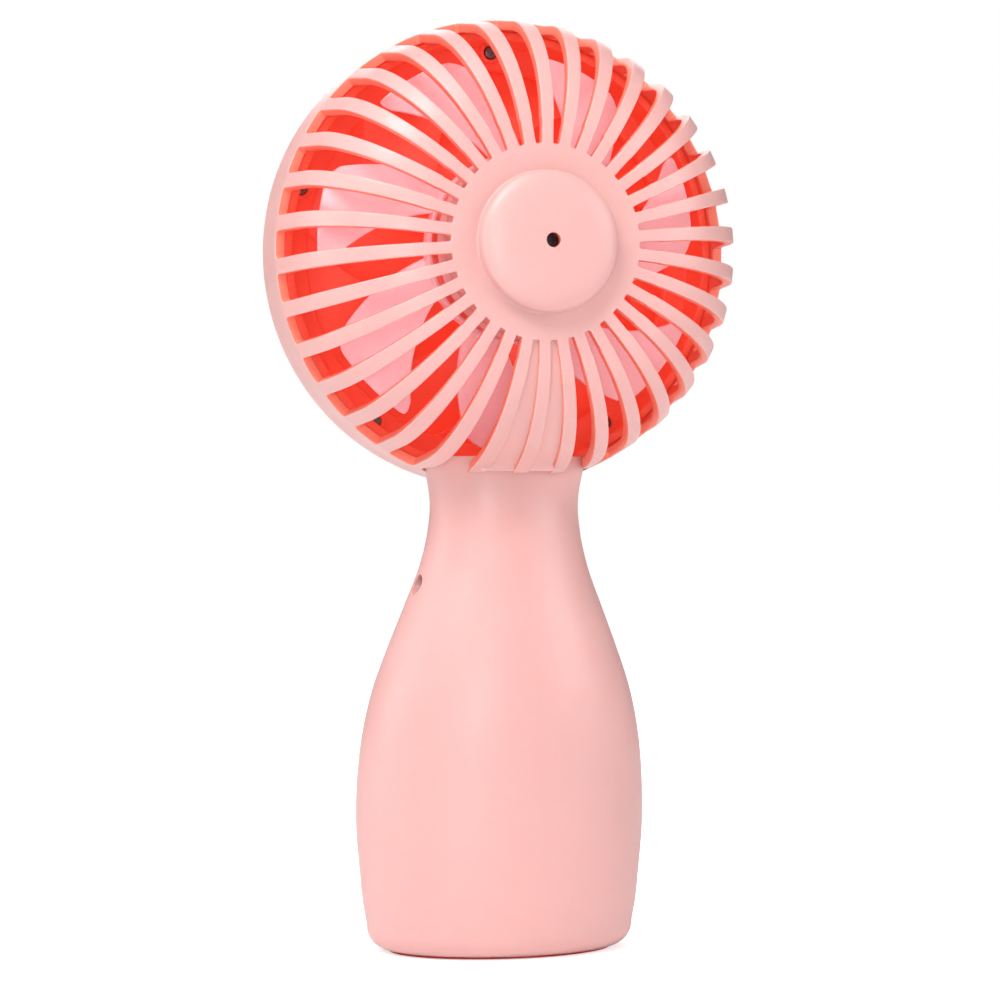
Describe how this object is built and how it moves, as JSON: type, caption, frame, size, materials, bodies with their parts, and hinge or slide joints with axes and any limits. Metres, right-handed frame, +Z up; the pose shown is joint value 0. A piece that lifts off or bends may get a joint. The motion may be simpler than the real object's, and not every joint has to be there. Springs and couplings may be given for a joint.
{
  "type": "handheld electric fan",
  "caption": "Bottle-shaped handle standing on a flat base, with a round fan head: domed ribbed guard behind, swirled outlet grille in front, bladed wheel and motor inside.",
  "frame": {"origin": "middle of the underside of the base plate", "axes": "+Z up along the handle, +Y out of the back of the domed guard, -Y out of the outlet grille, the fan axis is parallel to Y"},
  "size_m": [0.0854, 0.0516, 0.1702],
  "materials": {
    "pink_shell": "fine satin",
    "pink_blades": "slightly translucent gloss",
    "coral": "satin",
    "steel": "bright",
    "white_nylon": "satin",
    "bronze": "sintered",
    "ferrite": "dull",
    "core_steel": "laminated",
    "copper": "enamelled",
    "screw_steel": "zinc black",
    "cell_wrap": "shrink wrap",
    "nickel": "plated",
    "board": "solder mask",
    "black_plastic": "moulded",
    "clear_plastic": "frosted",
    "wire_red": "insulation",
    "wire_black": "insulation"
  },
  "bodies": {
    "body": {"rear_guard": "pink_shell", "guard_screw": "screw_steel", "motor_holder": "coral", "motor_can": "steel", "motor_end_cap": "white_nylon", "motor_magnet_1": "ferrite", "motor_magnet_2": "ferrite", "front_bush": "bronze", "rear_bush": "bronze", "front_shell": "coral", "front_grille": "coral", "front_cap": "pink_shell", "grille_screw_1": "screw_steel", "grille_screw_2": "screw_steel", "grille_screw_3": "screw_steel", "grille_screw_4": "screw_steel", "grille_screw_5": "screw_steel", "handle_sleeve": "pink_shell", "base_plate": "coral", "base_screw_1": "screw_steel", "base_screw_2": "screw_steel", "inner_frame": "white_nylon", "neck_screw_1": "screw_steel", "neck_screw_2": "screw_steel", "battery_cell": "cell_wrap", "battery_tab_top": "nickel", "battery_tab_bottom": "nickel", "circuit_board": "board", "control_chip": "black_plastic", "inductor": "ferrite", "usb_socket": "nickel", "switch_housing": "black_plastic", "button_bezel": "pink_shell", "charge_led": "clear_plastic", "indicator_lens": "clear_plastic", "motor_wire_red": "wire_red", "motor_wire_black": "wire_black", "battery_wire_red": "wire_red", "battery_wire_black": "wire_black"},
    "fan_wheel": {"impeller": "pink_blades", "motor_shaft": "steel", "motor_armature": "core_steel", "commutator": "copper", "winding_1": "copper", "winding_2": "copper", "winding_3": "copper"},
    "button": {"power_button": "coral", "switch_plunger": "black_plastic"}
  },
  "joints": [
    {"name": "fan_spin", "type": "hinge", "parent": "body", "child": "fan_wheel", "pos_m": [0, 0.012, 0.1275], "axis": [0, 1, 0], "continuous": true},
    {"name": "button_press", "type": "slide", "parent": "body", "child": "button", "axis": [0, 1, 0], "range_m": [0, 0.0006], "stiffness_N_per_m": 800, "springref_m": -0.0003}
  ]
}
